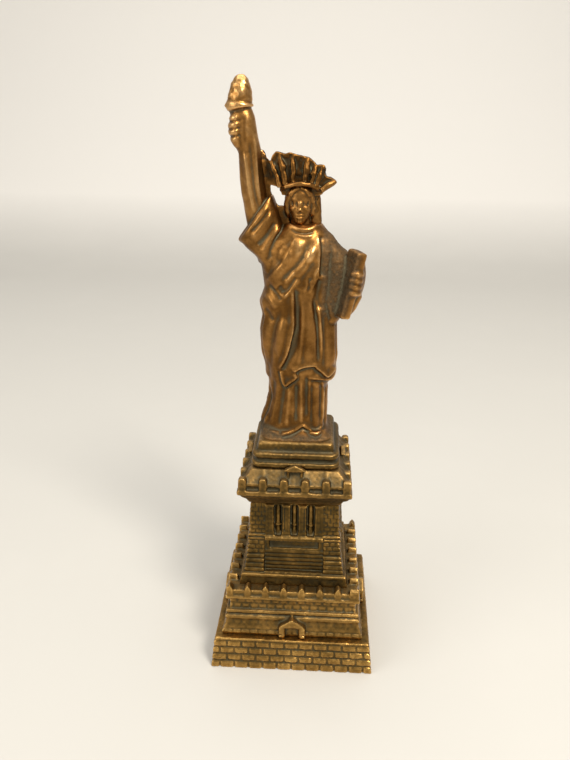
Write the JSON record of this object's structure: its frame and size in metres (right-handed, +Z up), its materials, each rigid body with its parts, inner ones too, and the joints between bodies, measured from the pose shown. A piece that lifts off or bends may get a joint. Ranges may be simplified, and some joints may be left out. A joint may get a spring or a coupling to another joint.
{
  "type": "miniature landmark model",
  "caption": "Cast metal miniature of a robed torch-bearer with a rayed crown and a tablet, on a stepped square pedestal.",
  "frame": {"origin": "centre of the square underside of the pedestal, on the surface that it stands on", "axes": "+Z up, -Y the way the figure faces, +X to the right of a person who looks at its front"},
  "size_m": [0.04, 0.04, 0.137],
  "materials": {
    "antique_brass": "antique brass plate on cast zinc alloy, dark in the recesses and rubbed bright on the high points",
    "zinc_steel": "zinc-plated steel",
    "grey_board": "uncoated grey board",
    "green_felt": "pressed wool-mix felt"
  },
  "bodies": {
    "root": {"fort_base": "antique_brass", "terrace": "antique_brass", "tower": "antique_brass", "deck": "antique_brass", "plinth": "antique_brass", "figure": "antique_brass", "tie_screw": "zinc_steel", "spring_washer": "zinc_steel", "clamp_bar": "zinc_steel", "backing_card": "grey_board", "felt_pad": "green_felt"}
  },
  "joints": []
}
